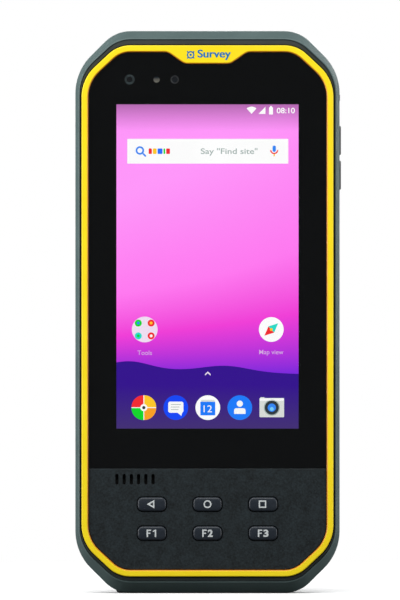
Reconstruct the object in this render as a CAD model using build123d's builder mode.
"""Rugged handheld data collector: a surveyor's field computer with a touch screen and six keys.

Frame: millimetres, +Z up along the long side, +X to the user's right, the screen faces -Y.
The origin is under the middle of the base, so the collector stands upright on z = 0.
"""
import os

from build123d import *

os.makedirs("parts", exist_ok=True)

# ---------------------------------------------------------------- driving dimensions (mm)
# A case outline is a tall rectangle with cut corners:
# half width, bottom z, top z, corner cut across, corner cut up, end radius, side radius
HULL = (45.2, 0.0, 192.3, 13.8, 13.8, 12.5, 18.0)
LIP = (43.35, 4.5, 189.0, 12.75, 11.9, 11.2, 14.4)
RING = (43.0, 5.8, 187.25, 12.4, 11.6, 10.8, 14.0)

RING_FRONT, RING_BACK, RING_WIDTH = -14.0, -12.2, 2.27
LIP_FRONT = -12.8
SHELF_FRONT, SHELF_BACK = -11.8, -10.2
PARTING = -3.0
BACK_INNER, BACK_FACE = 10.4, 13.0
BACK_BEVEL = 1.5
DOOR_LEDGE, DOOR_FACE = 11.8, 14.0
WALL = 2.4

BUMPER_FRONT, BUMPER_FULL_FRONT = -12.4, -8.0
BUMPER_FULL_BACK, BUMPER_BACK = 8.5, 11.5
GROOVE_WIDTH, GROOVE_BOTTOM = 0.35, -11.6
FIT = 0.06

TAB_TOP, TAB_BOTTOM, TAB_DROP = 13.6, 7.85, 180.96
PANEL_TOP = 42.7
SEAM = 0.05
GLASS_FRONT, GLASS_BACK = -13.3, -12.2
ADHESIVE_FRONT, LCD_FRONT = -12.12, -12.0
PANEL_FRONT = -13.4

LCD_HALF, LCD_LOW, LCD_HIGH = 33.0, 53.0, 169.0
LCD_BACK, CHASSIS_FRONT, CHASSIS_BACK = -9.6, -8.3, -7.2
BOARD_FRONT, BOARD_BACK = -5.8, -4.8
CAN_BACK = -2.6

KEY_WIDTH, KEY_HEIGHT, KEY_RADIUS = 9.87, 4.9, 1.8
KEY_COLUMNS = (-19.0, 0.0, 19.0)
KEY_ROWS = (30.5, 20.6)
KEY_TRAVEL, KEY_GAP = 0.7, 0.26
KEY_NAMES = (("key_back", "key_home", "key_recent"), ("key_f1", "key_f2", "key_f3"))
MEMBRANE_FRONT, KEYBOARD_FRONT = -9.9, -9.3

SLOT_COUNT, SLOT_PITCH, SLOT_WIDTH, SLOT_HEIGHT = 6, 2.47, 1.1, 3.65
SPEAKER_X, SPEAKER_Z = -24.77, 39.05

SENSOR_Z, CAMERA_X, LIGHT_X, PROXIMITY_X = 175.6, -26.6, -17.4, -11.2
SENSOR_FRONT = -12.1

SCREW_PLACES = [(sx * x, z) for sx in (-1, 1) for x, z in ((34, 13.5), (38.3, 68), (38.3, 128), (34, 180))]
SCREW_PILLAR, SCREW_SEAT = 3.25, 1.0
STRAP_HALF_X, STRAP_LOW, STRAP_HIGH = 36.0, 45.0, 150.0
STRAP_PLACES = [(sx * STRAP_HALF_X, z) for sx in (-1, 1) for z in (STRAP_LOW, STRAP_HIGH)]
BOARD_SCREWS = [(sx * x, z) for sx in (-1, 1) for x, z in ((28, 24), (31, 96), (28, 168))]

BAY_HALF, BAY_LOW, BAY_HIGH, BAY_WALL = 27.0, 62.0, 158.0, 1.5
BAY_FLOOR, BAY_UNDERSIDE = -0.6, -2.0
BATTERY = (52.6, 93.6, 11.0)
DOOR_HALF, DOOR_LOW, DOOR_HIGH, DOOR_RADIUS = 30.8, 51.2, 168.8, 3.0
DOOR_SCREW_Z = {"door_screw_lower": 55.8, "door_screw_upper": 164.2}
MID_BAY = (BAY_LOW + BAY_HIGH) / 2

CAMERA_Z, FLASH_X = 177.5, 12.5
DOCK_Z, DOCK_PITCH = 28.0, 3.6

BUTTON_Y, BUTTON_GAP = 1.5, 0.25
BUTTON_DEPTH, BUTTON_RADIUS = 4.4, 1.6
FLANGE_INNER, FLANGE_OUTER, FLANGE_RIM = 42.3, 43.1, 0.8
RECESS_FLOOR, STEM_RADIUS, STEM_TIP = 41.7, 1.0, 39.8
# name: centre z, height, outer face x
BUTTONS = {
    "power_button": (169.6, 6.0, 45.15),
    "volume_up_button": (155.0, 10.0, 45.75),
    "volume_down_button": (143.1, 10.0, 45.75),
}

PORT_X, PORT_Y, PORT_TOP = -21.85, -3.2, 7.4
PORT_WIDTH, PORT_DEPTH = 12.6, 6.8
FLAP_HINGE_X, FLAP_HINGE_Z, FLAP_END_X = -30.2, 1.15, -13.7
FLAP_DEPTH, FLAP_LOW, FLAP_TOP, FLAP_GAP = 8.0, 0.1, 2.2, 0.3
PIN_RADIUS = 0.5


# ---------------------------------------------------------------- helpers
def facing(y):
    """A plane at depth y whose normal points to the front, with local axes x across and z up."""
    return Plane.XZ.offset(-y)


def grown(outline, distance):
    """The same cut-corner outline moved outwards by a distance, or inwards by a negative one."""
    half, low, high, cut_x, cut_z, end_radius, side_radius = outline
    cut = distance * (2 - 2**0.5)
    return (
        half + distance,
        low - distance,
        high + distance,
        cut_x + cut,
        cut_z + cut,
        end_radius + distance,
        side_radius + distance,
    )


def blended(first, second, share):
    """An outline part of the way from the first to the second."""
    return tuple(a + (b - a) * share for a, b in zip(first, second))


def outline_face(outline, mode=Mode.ADD):
    """Add the face of a cut-corner outline to the sketch being built."""
    half, low, high, cut_x, cut_z, end_radius, side_radius = outline
    inner = half - cut_x
    with BuildLine() as path:
        FilletPolyline(
            (-inner, low),
            (inner, low),
            (half, low + cut_z),
            (half, high - cut_z),
            (inner, high),
            (-inner, high),
            (-half, high - cut_z),
            (-half, low + cut_z),
            radius=[end_radius, end_radius, side_radius, side_radius] * 2,
            close=True,
        )
    make_face(path.edges(), mode=mode)


def slab(outline, front, back, mode=Mode.ADD):
    """Fill a cut-corner outline between two depths of the part being built."""
    with BuildSketch(facing(back)) as profile:
        outline_face(outline)
    extrude(profile.sketch, amount=back - front, mode=mode)


def plate(x, z, width, height, front, back, radius=0.0, mode=Mode.ADD):
    """Fill a rectangle, rounded or not, between two depths of the part being built."""
    with BuildSketch(facing(back)) as profile:
        with Locations((x, z)):
            if radius:
                RectangleRounded(width, height, radius)
            else:
                Rectangle(width, height)
    extrude(profile.sketch, amount=back - front, mode=mode)


def studs(places, radius, front, back, mode=Mode.ADD):
    """Fill round studs, or drill round holes, between two depths of the part being built."""
    with BuildSketch(facing(back)) as profile:
        with Locations(*places):
            Circle(radius)
    extrude(profile.sketch, amount=back - front, mode=mode)


def side_plate(y, z, depth, height, inner_x, outer_x, radius=0.0, mode=Mode.ADD):
    """Fill a rectangle seen from the right-hand side between two distances from the middle."""
    with BuildSketch(Plane.YZ.offset(inner_x)) as profile:
        with Locations((y, z)):
            if radius:
                RectangleRounded(depth, height, radius)
            else:
                Rectangle(depth, height)
    extrude(profile.sketch, amount=outer_x - inner_x, mode=mode)


def base_plate(x, y, width, depth, low, high, radius=0.0, mode=Mode.ADD):
    """Fill a rectangle seen from below between two heights."""
    with BuildSketch(Plane.XY.offset(low)) as profile:
        with Locations((x, y)):
            if radius:
                RectangleRounded(width, depth, radius)
            else:
                Rectangle(width, depth)
    extrude(profile.sketch, amount=high - low, mode=mode)


def save(part, name):
    """Label a finished piece and write it as its own STEP file."""
    part.label = name
    export_step(part, f"parts/{name}.step")


def cut_port_opening(low, high):
    """Cut the way in for a USB plug through the base of the part being built."""
    base_plate(PORT_X, PORT_Y, PORT_WIDTH, PORT_DEPTH, low, high, 1.5, Mode.SUBTRACT)


# ---------------------------------------------------------------- front housing
with BuildPart() as front_housing:
    slab(LIP, LIP_FRONT, PARTING)
    slab(grown(RING, SEAM), LIP_FRONT, RING_BACK, Mode.SUBTRACT)
    slab(grown(RING, -RING_WIDTH), RING_BACK, SHELF_FRONT, Mode.SUBTRACT)
    slab(grown(LIP, -WALL), SHELF_BACK, PARTING, Mode.SUBTRACT)
    # windows in the shelf: display, keys, speaker duct and sensors
    plate(0, (LCD_LOW + LCD_HIGH) / 2, 2 * LCD_HALF, LCD_HIGH - LCD_LOW, SHELF_FRONT, SHELF_BACK, 1.0,
          Mode.SUBTRACT)
    plate(0, 25.3, 54.0, 19.2, SHELF_FRONT, SHELF_BACK, 1.5, Mode.SUBTRACT)
    plate(SPEAKER_X, SPEAKER_Z, 14.6, 4.4, SHELF_FRONT, SHELF_BACK, 1.0, Mode.SUBTRACT)
    plate(-19.3, SENSOR_Z, 23.0, 5.6, SHELF_FRONT, SHELF_BACK, 1.0, Mode.SUBTRACT)
    # pillars that take the housing screws
    studs(SCREW_PLACES, SCREW_PILLAR, SHELF_BACK, PARTING)
    studs(SCREW_PLACES, 1.25, -9.0, PARTING, Mode.SUBTRACT)
    # locating holes for the pegs of the ring and of the keypad panel
    ring_pegs = [(sx * 41.87, z) for sx in (-1, 1) for z in (50, 100, 150)]
    ring_pegs += [(x, z) for x in (-20, 20) for z in (6.94, 186.1)]
    panel_pegs = [(sx * 35.5, z) for sx in (-1, 1) for z in (19.0, 38.0)]
    studs(ring_pegs, 0.65, RING_BACK, -11.0, Mode.SUBTRACT)
    studs(panel_pegs, 0.8, SHELF_FRONT, -10.6, Mode.SUBTRACT)
    # half of the groove for the housing seal
    with BuildSketch(facing(PARTING)):
        outline_face(grown(LIP, -0.7))
        outline_face(grown(LIP, -1.7), Mode.SUBTRACT)
    extrude(amount=0.5, mode=Mode.SUBTRACT)
    cut_port_opening(0, PORT_TOP)
    with Locations((14.0, -4.25, 6.0)):
        Cylinder(0.6, 8.0, mode=Mode.SUBTRACT)
save(front_housing.part, "front_housing")

# ---------------------------------------------------------------- yellow bezel ring with its tab
with BuildPart() as bezel_ring:
    with BuildSketch(facing(RING_BACK)):
        outline_face(RING)
        outline_face(grown(RING, -RING_WIDTH), Mode.SUBTRACT)
    extrude(amount=RING_BACK - RING_FRONT)
    inner_top = RING[2] - RING_WIDTH
    with BuildSketch(facing(GLASS_FRONT - SEAM)):
        with BuildLine():
            FilletPolyline(
                (-TAB_TOP, inner_top),
                (-TAB_BOTTOM, TAB_DROP),
                (TAB_BOTTOM, TAB_DROP),
                (TAB_TOP, inner_top),
                (20, inner_top),
                (20, inner_top + 1),
                (-20, inner_top + 1),
                (-20, inner_top),
                radius=[4.0, 4.0, 4.0, 4.0, 0, 0, 0, 0],
                close=True,
            )
        make_face()
    extrude(amount=GLASS_FRONT - SEAM - RING_FRONT)
    front_face = bezel_ring.faces().sort_by(Axis.Y)[0]
    fillet(front_face.inner_wires()[0].edges(), 0.55)
    front_face = bezel_ring.faces().sort_by(Axis.Y)[0]
    fillet(front_face.outer_wire().edges(), 0.35)
    studs(ring_pegs, 0.6, RING_BACK, -11.2)
save(bezel_ring.part, "bezel_ring")

# ---------------------------------------------------------------- display stack
with BuildPart() as display_glass:
    slab(grown(RING, -RING_WIDTH - 0.1), GLASS_FRONT, GLASS_BACK)
    split(bisect_by=Plane.XY.offset(PANEL_TOP + SEAM), keep=Keep.TOP)
    chamfer(display_glass.faces().sort_by(Axis.Y)[0].edges(), 0.15)
save(display_glass.part, "display_glass")

with BuildPart() as glass_adhesive:
    slab(grown(RING, -RING_WIDTH - 0.4), ADHESIVE_FRONT, SHELF_FRONT)
    split(bisect_by=Plane.XY.offset(PANEL_TOP + 0.5), keep=Keep.TOP)
    plate(0, (LCD_LOW + LCD_HIGH) / 2, 2 * LCD_HALF, LCD_HIGH - LCD_LOW, ADHESIVE_FRONT, SHELF_FRONT, 1.0,
          Mode.SUBTRACT)
    plate(-19.3, SENSOR_Z, 23.0, 5.6, ADHESIVE_FRONT, SHELF_FRONT, 1.0, Mode.SUBTRACT)
save(glass_adhesive.part, "glass_adhesive")

lcd_mid, lcd_width, lcd_height = (LCD_LOW + LCD_HIGH) / 2, 2 * LCD_HALF - 0.4, LCD_HIGH - LCD_LOW - 0.4
with BuildPart() as lcd_panel:
    plate(0, lcd_mid, lcd_width, lcd_height, LCD_FRONT, LCD_BACK, 0.8)
save(lcd_panel.part, "lcd_panel")

with BuildPart() as backlight:
    plate(0, lcd_mid, lcd_width, lcd_height, LCD_BACK, CHASSIS_FRONT, 0.8)
save(backlight.part, "backlight")

with BuildPart() as lcd_flex:
    with BuildSketch(Plane.YZ.offset(-6)):
        with BuildLine():
            Polyline(
                (-9.4, 53.2), (-9.4, 46.9), (-3.9, 46.9), (-3.9, 47.1), (-9.2, 47.1), (-9.2, 53.2),
                close=True,
            )
        make_face()
    extrude(amount=12)
save(lcd_flex.part, "lcd_flex")

# ---------------------------------------------------------------- keypad panel, keys and switches
key_places = [(x, z) for z in KEY_ROWS for x in KEY_COLUMNS]
with BuildPart() as keypad_panel:
    slab(grown(RING, -RING_WIDTH - 0.1), PANEL_FRONT, SHELF_FRONT)
    split(bisect_by=Plane.XY.offset(PANEL_TOP - SEAM), keep=Keep.BOTTOM)
    chamfer(keypad_panel.faces().sort_by(Axis.Y)[0].edges(), 0.2)
    with BuildSketch(facing(SHELF_FRONT)):
        with Locations(*key_places):
            RectangleRounded(KEY_WIDTH + 2 * KEY_GAP, KEY_HEIGHT + 2 * KEY_GAP, KEY_RADIUS + KEY_GAP)
        with Locations((SPEAKER_X, SPEAKER_Z)):
            with GridLocations(SLOT_PITCH, 0, SLOT_COUNT, 1):
                SlotOverall(SLOT_HEIGHT, SLOT_WIDTH, rotation=90)
    extrude(amount=SHELF_FRONT - PANEL_FRONT, mode=Mode.SUBTRACT)
    studs(panel_pegs, 0.75, SHELF_FRONT, -10.7)
save(keypad_panel.part, "keypad_panel")


def make_key(name, x, z):
    """A hard cap that shows through the panel, with a flange that keeps it in and a short stem."""
    with BuildPart() as key:
        plate(x, z, KEY_WIDTH, KEY_HEIGHT, -13.95, -11.75, KEY_RADIUS)
        fillet(key.faces().sort_by(Axis.Y)[0].edges(), 0.45)
        plate(x, z, KEY_WIDTH + 1.9, KEY_HEIGHT + 1.9, -11.75, -11.0, KEY_RADIUS)
        studs([(x, z)], 1.2, -11.0, MEMBRANE_FRONT - KEY_TRAVEL - 0.05)
    save(key.part, name)


for names, row_z in zip(KEY_NAMES, KEY_ROWS):
    for key_name, column_x in zip(names, KEY_COLUMNS):
        make_key(key_name, column_x, row_z)

with BuildPart() as keypad_membrane:
    plate(0, 25.55, 52.0, 17.6, MEMBRANE_FRONT, KEYBOARD_FRONT, 1.5)
    studs(key_places, 3.0, -9.65, KEYBOARD_FRONT, Mode.SUBTRACT)
save(keypad_membrane.part, "keypad_membrane")

with BuildPart() as dome_switches:
    studs(key_places, 2.2, -9.55, KEYBOARD_FRONT)
save(dome_switches.part, "dome_switches")

with BuildPart() as keypad_board:
    plate(0, 25.55, 52.0, 17.6, KEYBOARD_FRONT, CHASSIS_FRONT, 1.5)
save(keypad_board.part, "keypad_board")

# ---------------------------------------------------------------- speaker, mesh and microphone
with BuildPart() as speaker_mesh:
    plate(SPEAKER_X, SPEAKER_Z, 14.4, 4.2, SHELF_FRONT, -11.6, 0.9)
save(speaker_mesh.part, "speaker_mesh")

with BuildPart() as speaker:
    plate(SPEAKER_X, SPEAKER_Z + 1, 17.0, 9.0, SHELF_BACK, -8.4, 2.0)
    plate(SPEAKER_X, SPEAKER_Z, 13.0, 3.6, -10.8, SHELF_BACK, 1.2)
save(speaker.part, "speaker")

with BuildPart() as microphone:
    plate(14.0, 9.6, 3.8, 3.0, BOARD_BACK, -3.7, 0.3)
save(microphone.part, "microphone")

# ---------------------------------------------------------------- front sensors behind the glass
with BuildPart() as front_camera:
    plate(CAMERA_X, SENSOR_Z, 5.2, 5.2, -10.6, -9.0, 0.6)
    studs([(CAMERA_X, SENSOR_Z)], 1.83, SENSOR_FRONT, -10.6)
save(front_camera.part, "front_camera")

with BuildPart() as light_sensor:
    plate(LIGHT_X, SENSOR_Z, 3.0, 3.0, -10.6, -9.0, 0.3)
    studs([(LIGHT_X, SENSOR_Z)], 1.1, SENSOR_FRONT, -10.6)
save(light_sensor.part, "light_sensor")

with BuildPart() as proximity_sensor:
    plate(PROXIMITY_X, SENSOR_Z, 3.4, 3.4, -10.6, -9.0, 0.3)
    studs([(PROXIMITY_X, SENSOR_Z)], 1.5, SENSOR_FRONT, -10.6)
save(proximity_sensor.part, "proximity_sensor")

with BuildPart() as sensor_board:
    plate(-19.3, SENSOR_Z, 24.0, 6.4, -9.0, -8.4, 0.8)
save(sensor_board.part, "sensor_board")

# ---------------------------------------------------------------- chassis plate and main board
with BuildPart() as chassis_plate:
    plate(0, 96.0, 69.0, 155.0, CHASSIS_FRONT, CHASSIS_BACK, 2.0)
    studs(BOARD_SCREWS, 2.2, CHASSIS_BACK, BOARD_FRONT)
    studs(BOARD_SCREWS, 1.0, CHASSIS_FRONT, BOARD_FRONT, Mode.SUBTRACT)
    plate(0, 46.9, 14.0, 2.4, CHASSIS_FRONT, CHASSIS_BACK, 1.0, Mode.SUBTRACT)
    with BuildSketch(facing(CHASSIS_BACK)):
        with Locations((0, 110)):
            with GridLocations(19.0, 26.0, 3, 4):
                RectangleRounded(13.0, 19.0, 3.0)
    extrude(amount=CHASSIS_BACK - CHASSIS_FRONT, mode=Mode.SUBTRACT)
save(chassis_plate.part, "chassis_plate")

with BuildPart() as main_board:
    with BuildSketch(facing(BOARD_BACK)):
        with Locations((0, 96)):
            Rectangle(68.0, 156.0)
        with Locations((0, 96.05)):
            Rectangle(59.0, 176.9)
        with Locations(*BOARD_SCREWS):
            Circle(1.1, mode=Mode.SUBTRACT)
        with Locations((0, 46.9)):
            RectangleRounded(14.0, 2.4, 1.0, mode=Mode.SUBTRACT)
    extrude(amount=BOARD_BACK - BOARD_FRONT)
save(main_board.part, "main_board")

with BuildPart() as board_screws:
    studs(BOARD_SCREWS, 1.9, BOARD_BACK, -3.8)
    studs(BOARD_SCREWS, 0.95, -7.9, BOARD_BACK)
    with BuildSketch(facing(-3.8)):
        with Locations(*BOARD_SCREWS):
            RegularPolygon(0.8, 6)
    extrude(amount=0.6, mode=Mode.SUBTRACT)
save(board_screws.part, "board_screws")

can_places = [(-15.0, 128.0, 27.0, 32.0), (15.0, 128.0, 27.0, 32.0), (0.0, 84.0, 44.0, 30.0)]
with BuildPart() as shield_cans:
    for can_x, can_z, can_width, can_height in can_places:
        plate(can_x, can_z, can_width, can_height, BOARD_BACK, CAN_BACK, 1.5)
        plate(can_x, can_z, can_width - 0.5, can_height - 0.5, BOARD_BACK, CAN_BACK - 0.25, 1.25,
              Mode.SUBTRACT)
save(shield_cans.part, "shield_cans")

with BuildPart() as board_connectors:
    plate(0, 42.0, 13.0, 3.2, BOARD_BACK, -3.6, 0.4)
    plate(-22.0, 56.0, 9.0, 3.2, BOARD_BACK, -3.6, 0.4)
    plate(-4.0, 172.0, 9.0, 3.2, BOARD_BACK, -3.6, 0.4)
    plate(31.0, 140.0, 3.2, 8.0, BOARD_BACK, -3.6, 0.4)
save(board_connectors.part, "board_connectors")

with BuildPart() as card_socket:
    plate(18.0, 54.0, 15.0, 14.0, BOARD_BACK, -3.3, 0.5)
    plate(18.0, 52.5, 12.0, 11.2, -4.5, -3.6, 0.0, Mode.SUBTRACT)
save(card_socket.part, "card_socket")

with BuildPart() as vibration_motor:
    studs([(-20.0, 30.0)], 5.0, BOARD_BACK, -2.2)
save(vibration_motor.part, "vibration_motor")

with BuildPart() as gnss_antenna:
    plate(17.0, 173.0, 18.0, 18.0, BOARD_BACK, -0.8, 0.5)
save(gnss_antenna.part, "gnss_antenna")

with BuildPart() as usb_port:
    base_plate(PORT_X, BOARD_BACK + 1.63, 8.94, 3.26, PORT_TOP, 14.7, 1.2)
    base_plate(PORT_X, BOARD_BACK + 1.63, 8.34, 2.56, PORT_TOP, 13.9, 1.1, Mode.SUBTRACT)
    base_plate(PORT_X, BOARD_BACK + 1.63, 6.7, 0.7, 8.2, 13.9)
save(usb_port.part, "usb_port")

# ---------------------------------------------------------------- rear housing
with BuildPart() as rear_housing:
    with BuildSketch(facing(PARTING)):
        outline_face(LIP)
    with BuildSketch(facing(BACK_FACE - BACK_BEVEL)):
        outline_face(LIP)
    with BuildSketch(facing(BACK_FACE)):
        outline_face(grown(LIP, -BACK_BEVEL))
    loft(ruled=True)
    for depth, radius in ((BACK_FACE - BACK_BEVEL, 1.0), (BACK_FACE, 1.0)):
        fillet(rear_housing.edges().filter_by_position(Axis.Y, depth - 0.01, depth + 0.01), radius)
    slab(grown(LIP, -WALL), PARTING, BACK_INNER, Mode.SUBTRACT)
    # battery bay
    plate(0, MID_BAY, 2 * (BAY_HALF + BAY_WALL), BAY_HIGH - BAY_LOW + 2 * BAY_WALL, BAY_UNDERSIDE,
          BACK_INNER)
    # pillars for the housing screws, the strap inserts and the door inserts
    door_screw_places = [(0.0, z) for z in DOOR_SCREW_Z.values()]
    studs(SCREW_PLACES, SCREW_PILLAR, PARTING, BACK_INNER)
    studs(STRAP_PLACES, 3.75, 5.0, BACK_INNER)
    studs(door_screw_places, 3.6, 5.0, BACK_INNER)
    # brackets that hold the side switch board
    for bracket_z in (136.5, 160.5):
        plate(35.7, bracket_z, 1.0, 3.0, BUTTON_Y - 2.0, BACK_INNER)
    plate(0, MID_BAY, 2 * BAY_HALF, BAY_HIGH - BAY_LOW, BAY_FLOOR, BACK_FACE, 1.5, Mode.SUBTRACT)
    plate(0, (DOOR_LOW + DOOR_HIGH) / 2, 2 * DOOR_HALF + 0.6, DOOR_HIGH - DOOR_LOW + 0.6, DOOR_LEDGE,
          BACK_FACE, DOOR_RADIUS + 0.3, Mode.SUBTRACT)
    plate(0, DOOR_LOW - 1.5, 16.0, 6.0, 12.2, BACK_FACE, 2.5, Mode.SUBTRACT)
    # groove for the door seal
    with BuildSketch(facing(DOOR_LEDGE)):
        with Locations((0, MID_BAY)):
            RectangleRounded(57.8, 99.8, 2.5)
            RectangleRounded(55.4, 97.4, 1.6, mode=Mode.SUBTRACT)
    extrude(amount=0.6, mode=Mode.SUBTRACT)
    # half of the groove for the housing seal
    with BuildSketch(facing(PARTING + 0.5)):
        outline_face(grown(LIP, -0.7))
        outline_face(grown(LIP, -1.7), Mode.SUBTRACT)
    extrude(amount=0.5, mode=Mode.SUBTRACT)
    studs(SCREW_PLACES, 1.35, PARTING, SCREW_SEAT, Mode.SUBTRACT)
    studs(SCREW_PLACES, 2.5, SCREW_SEAT, BACK_FACE, Mode.SUBTRACT)
    studs(STRAP_PLACES, 2.3, 7.0, BACK_FACE, Mode.SUBTRACT)
    studs(door_screw_places, 2.3, 6.0, DOOR_LEDGE, Mode.SUBTRACT)
    # battery contacts, camera, flash and dock contacts
    plate(0, BAY_LOW - BAY_WALL / 2, 14.4, BAY_WALL + 0.2, 0.8, 7.2, 0.0, Mode.SUBTRACT)
    studs([(0, CAMERA_Z)], 4.0, BACK_INNER, BACK_FACE, Mode.SUBTRACT)
    studs([(0, CAMERA_Z)], 6.5, 12.0, BACK_FACE, Mode.SUBTRACT)
    studs([(FLASH_X, CAMERA_Z)], 2.2, BACK_INNER, BACK_FACE, Mode.SUBTRACT)
    plate(0, DOCK_Z, 20.2, 6.2, BACK_INNER, BACK_FACE, 1.5, Mode.SUBTRACT)
    # side buttons: a recess for each flange and a hole for each stem
    for button_z, button_height, _ in BUTTONS.values():
        recess_rim = 2 * FLANGE_RIM + 0.4
        side_plate(BUTTON_Y, button_z, BUTTON_DEPTH + recess_rim, button_height + recess_rim,
                   RECESS_FLOOR, 44.0, BUTTON_RADIUS, Mode.SUBTRACT)
        with BuildSketch(Plane.YZ.offset(39.0)):
            with Locations((BUTTON_Y, button_z)):
                Circle(STEM_RADIUS + 0.1)
        extrude(amount=4.0, mode=Mode.SUBTRACT)
    cut_port_opening(0, PORT_TOP)
save(rear_housing.part, "rear_housing")

with BuildPart() as housing_seal:
    with BuildSketch(facing(PARTING + 0.5)):
        outline_face(grown(LIP, -0.72))
        outline_face(grown(LIP, -1.68), Mode.SUBTRACT)
    extrude(amount=1.0)
    cut_port_opening(0, PORT_TOP)
save(housing_seal.part, "housing_seal")

with BuildPart() as housing_screws:
    studs(SCREW_PLACES, 2.2, SCREW_SEAT, SCREW_SEAT + 2.0)
    studs(SCREW_PLACES, 1.2, -8.5, SCREW_SEAT)
    with BuildSketch(facing(SCREW_SEAT + 2.0)):
        with Locations(*SCREW_PLACES):
            RegularPolygon(1.1, 6)
    extrude(amount=1.3, mode=Mode.SUBTRACT)
save(housing_screws.part, "housing_screws")

# ---------------------------------------------------------------- overmoulded bumper
with BuildPart() as bumper:
    rim = grown(LIP, 2 * GROOVE_WIDTH)
    for depth, section in (
        (BUMPER_FRONT, rim),
        (BUMPER_FULL_FRONT, HULL),
        (BUMPER_FULL_BACK, HULL),
        (BUMPER_BACK, blended(HULL, rim, 0.8)),
    ):
        with BuildSketch(facing(depth)):
            outline_face(section)
    loft(ruled=True)
    for depth, radius in (
        (BUMPER_FULL_FRONT, 2.0),
        (BUMPER_FULL_BACK, 2.0),
        (BUMPER_FRONT, 0.4),
        (BUMPER_BACK, 0.6),
    ):
        fillet(bumper.edges().filter_by_position(Axis.Y, depth - 0.01, depth + 0.01), radius)
    slab(grown(LIP, FIT), BUMPER_FRONT, BUMPER_BACK, Mode.SUBTRACT)
    slab(grown(LIP, GROOVE_WIDTH), BUMPER_FRONT, GROOVE_BOTTOM, Mode.SUBTRACT)
    # openings for the side buttons
    for button_z, button_height, _ in BUTTONS.values():
        side_plate(BUTTON_Y, button_z, BUTTON_DEPTH + 2 * BUTTON_GAP, button_height + 2 * BUTTON_GAP,
                   40.0, 46.0, BUTTON_RADIUS + BUTTON_GAP, Mode.SUBTRACT)
    # grip grooves on both sides, behind the widest line of the case
    for side in (-1, 1):
        with BuildSketch(Plane.YZ.offset(side * (HULL[0] + 0.3))):
            with Locations((2.5, 92.0)):
                with GridLocations(0, 5.0, 1, 10):
                    SlotOverall(11.0, 2.0)
        extrude(amount=-side * 0.75, mode=Mode.SUBTRACT)
    # recess and pin holes of the port cover, plug opening and microphone hole
    base_plate((FLAP_HINGE_X + FLAP_END_X) / 2 - 0.55, PORT_Y, FLAP_END_X - FLAP_HINGE_X + 1.7,
               FLAP_DEPTH + 2 * FLAP_GAP, 0, FLAP_TOP + 0.2, 0.0, Mode.SUBTRACT)
    base_plate(FLAP_END_X + 2.0, PORT_Y, 4.5, 5.0, 0, 1.2, 1.5, Mode.SUBTRACT)
    with BuildSketch(facing(2.3)):
        with Locations((FLAP_HINGE_X, FLAP_HINGE_Z)):
            Circle(PIN_RADIUS + 0.02)
    extrude(amount=10.2, mode=Mode.SUBTRACT)
    cut_port_opening(0, PORT_TOP)
    with Locations((14.0, -4.25, 3.0)):
        Cylinder(0.6, 8.0, mode=Mode.SUBTRACT)
save(bumper.part, "bumper")

# ---------------------------------------------------------------- side buttons
for button_name, (button_z, button_height, face_x) in BUTTONS.items():
    with BuildPart() as button:
        side_plate(BUTTON_Y, button_z, BUTTON_DEPTH, button_height, FLANGE_OUTER, face_x, BUTTON_RADIUS)
        fillet(button.faces().sort_by(Axis.X)[-1].edges(), 0.4)
        side_plate(BUTTON_Y, button_z, BUTTON_DEPTH + 2 * FLANGE_RIM, button_height + 2 * FLANGE_RIM,
                   FLANGE_INNER, FLANGE_OUTER, BUTTON_RADIUS)
        with BuildSketch(Plane.YZ.offset(STEM_TIP)):
            with Locations((BUTTON_Y, button_z)):
                Circle(STEM_RADIUS)
        extrude(amount=FLANGE_INNER - STEM_TIP)
        if button_name == "power_button":
            side_plate(BUTTON_Y, button_z, 2.4, 2.0, face_x - 0.5, face_x + 0.29, 0.9)
    save(button.part, button_name)

with BuildPart() as side_switch_board:
    side_plate(BUTTON_Y, 156.0, 4.6, 36.0, 36.2, 36.8)
save(side_switch_board.part, "side_switch_board")

with BuildPart() as side_switches:
    for button_z, _, _ in BUTTONS.values():
        side_plate(BUTTON_Y, button_z, 3.4, 4.4, 36.8, 38.7, 0.5)
        side_plate(BUTTON_Y, button_z, 1.6, 2.4, 38.7, 39.2, 0.5)
save(side_switches.part, "side_switches")

# ---------------------------------------------------------------- port cover on its pin
with BuildPart() as port_cover:
    base_plate((FLAP_HINGE_X + FLAP_END_X) / 2, PORT_Y, FLAP_END_X - FLAP_HINGE_X, FLAP_DEPTH, FLAP_LOW,
               FLAP_TOP)
    fillet(port_cover.edges().filter_by(Axis.Z).group_by(Axis.X)[-1], 1.2)
    base_plate(PORT_X, PORT_Y, PORT_WIDTH - 1.0, PORT_DEPTH - 1.0, FLAP_TOP, FLAP_TOP + 0.8, 1.2)
    with BuildSketch(facing(PORT_Y + FLAP_DEPTH / 2)):
        with Locations((FLAP_HINGE_X, FLAP_HINGE_Z)):
            Circle(FLAP_TOP - FLAP_HINGE_Z)
    extrude(amount=FLAP_DEPTH)
    with BuildSketch(facing(PORT_Y + FLAP_DEPTH / 2)):
        with Locations((FLAP_HINGE_X, FLAP_HINGE_Z)):
            Circle(PIN_RADIUS + 0.05)
    extrude(amount=FLAP_DEPTH, mode=Mode.SUBTRACT)
save(port_cover.part, "port_cover")

with BuildPart() as port_cover_pin:
    with BuildSketch(facing(2.2)):
        with Locations((FLAP_HINGE_X, FLAP_HINGE_Z)):
            Circle(PIN_RADIUS)
    extrude(amount=10.0)
save(port_cover_pin.part, "port_cover_pin")

# ---------------------------------------------------------------- battery, contacts and door
battery_width, battery_height, battery_depth = BATTERY
battery_front = BAY_FLOOR + 0.1
with BuildPart() as battery_pack:
    plate(0, MID_BAY, battery_width, battery_height, battery_front, battery_front + battery_depth, 1.2)
    chamfer(battery_pack.faces().sort_by(Axis.Y)[-1].edges(), 0.5)
    plate(0, MID_BAY - battery_height / 2 + 0.4, 13.0, 0.8, 1.4, 6.6, 0.0, Mode.SUBTRACT)
save(battery_pack.part, "battery_pack")

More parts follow.
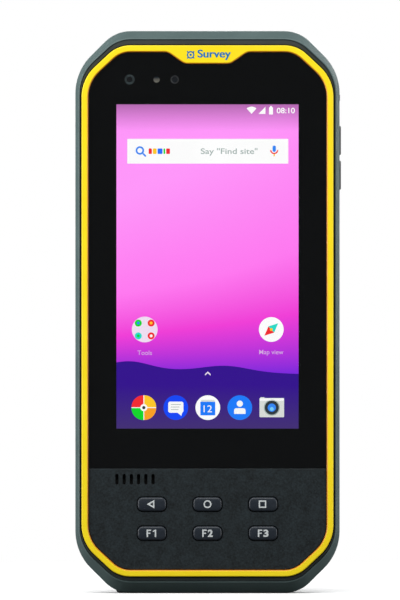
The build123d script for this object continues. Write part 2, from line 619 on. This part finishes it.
with BuildPart() as battery_contact_block:
    plate(0, BAY_LOW - BAY_WALL / 2 + 0.15, 14.2, BAY_WALL - 0.1, 1.0, 7.0)
save(battery_contact_block.part, "battery_contact_block")

with BuildPart() as battery_contacts:
    with BuildSketch(facing(6.2)):
        with Locations((0, BAY_LOW + 0.45)):
            with GridLocations(3.2, 0, 4, 1):
                RectangleRounded(1.6, 0.7, 0.2)
    extrude(amount=4.4)
save(battery_contacts.part, "battery_contacts")

with BuildPart() as door_seal:
    with BuildSketch(facing(DOOR_LEDGE - 0.02)):
        with Locations((0, MID_BAY)):
            RectangleRounded(57.76, 99.76, 2.48)
            RectangleRounded(55.44, 97.44, 1.62, mode=Mode.SUBTRACT)
    extrude(amount=0.58)
save(door_seal.part, "door_seal")

with BuildPart() as battery_door:
    door_mid = (DOOR_LOW + DOOR_HIGH) / 2
    plate(0, door_mid, 2 * DOOR_HALF, DOOR_HIGH - DOOR_LOW, DOOR_LEDGE, DOOR_FACE, DOOR_RADIUS)
    chamfer(battery_door.faces().sort_by(Axis.Y)[-1].edges(), 0.8)
    fillet(battery_door.faces().sort_by(Axis.Y)[-1].edges(), 0.6)
    # rib frame that keys into the bay
    with BuildSketch(facing(DOOR_LEDGE)):
        with Locations((0, MID_BAY)):
            RectangleRounded(53.2, 95.2, 1.4)
            RectangleRounded(50.8, 92.8, 0.6, mode=Mode.SUBTRACT)
    extrude(amount=0.8)
    # finger grooves
    with BuildSketch(facing(DOOR_FACE)):
        with Locations((0, 74.0)):
            with GridLocations(0, 3.2, 1, 5):
                SlotOverall(30.0, 1.4)
    extrude(amount=0.5, mode=Mode.SUBTRACT)
    # shallow field for a rating plate
    plate(0, 126.0, 40.0, 46.0, DOOR_FACE - 0.3, DOOR_FACE, 2.0, Mode.SUBTRACT)
    studs(door_screw_places, 1.65, DOOR_LEDGE, DOOR_FACE, Mode.SUBTRACT)
    studs(door_screw_places, 3.45, 12.25, DOOR_FACE, Mode.SUBTRACT)
save(battery_door.part, "battery_door")

with BuildPart() as rating_plate:
    plate(0, 126.0, 39.4, 45.4, DOOR_FACE - 0.3, DOOR_FACE - 0.08, 1.7)
save(rating_plate.part, "rating_plate")

for screw_name, screw_z in DOOR_SCREW_Z.items():
    with BuildPart() as door_screw:
        studs([(0, screw_z)], 3.2, 12.3, 13.7)
        fillet(door_screw.faces().sort_by(Axis.Y)[-1].edges(), 0.3)
        studs([(0, screw_z)], 1.45, 6.8, 12.3)
        plate(0, screw_z, 6.6, 0.9, 12.9, 13.7, 0.0, Mode.SUBTRACT)
    save(door_screw.part, screw_name)

with BuildPart() as door_inserts:
    studs(door_screw_places, 2.3, 6.2, DOOR_LEDGE - 0.05)
    studs(door_screw_places, 1.5, 6.2, DOOR_LEDGE, Mode.SUBTRACT)
save(door_inserts.part, "door_inserts")

with BuildPart() as strap_inserts:
    studs(STRAP_PLACES, 2.3, 7.0, BACK_FACE - 0.1)
    studs(STRAP_PLACES, 1.25, 7.6, BACK_FACE, Mode.SUBTRACT)
save(strap_inserts.part, "strap_inserts")

# ---------------------------------------------------------------- rear camera, flash, antenna, dock
with BuildPart() as rear_camera:
    plate(0, CAMERA_Z, 9.0, 9.0, 5.4, BACK_INNER, 0.6)
    studs([(0, CAMERA_Z)], 3.5, BACK_INNER, 11.9)
    studs([(0, CAMERA_Z)], 2.0, 11.2, 11.9, Mode.SUBTRACT)
save(rear_camera.part, "rear_camera")

with BuildPart() as rear_camera_window:
    studs([(0, CAMERA_Z)], 6.4, 12.02, 12.9)
save(rear_camera_window.part, "rear_camera_window")

with BuildPart() as flash_led:
    plate(FLASH_X, CAMERA_Z, 5.0, 5.0, 9.6, BACK_INNER, 0.4)
    studs([(FLASH_X, CAMERA_Z)], 2.1, BACK_INNER, 12.8)
save(flash_led.part, "flash_led")

with BuildPart() as radio_antenna:
    plate(-19.0, 178.0, 17.0, 11.0, 10.2, BACK_INNER, 1.0)
save(radio_antenna.part, "radio_antenna")

dock_places = [(DOCK_PITCH * (i - 2), DOCK_Z) for i in range(5)]
with BuildPart() as dock_contact_block:
    plate(0, DOCK_Z, 20.0, 6.0, BACK_INNER, BACK_FACE, 1.4)
    plate(0, DOCK_Z, 23.0, 9.0, 9.6, BACK_INNER, 1.4)
    studs(dock_places, 0.95, 9.6, BACK_FACE, Mode.SUBTRACT)
save(dock_contact_block.part, "dock_contact_block")

with BuildPart() as dock_contacts:
    studs(dock_places, 0.9, 9.2, BACK_FACE + 0.1)
save(dock_contacts.part, "dock_contacts")
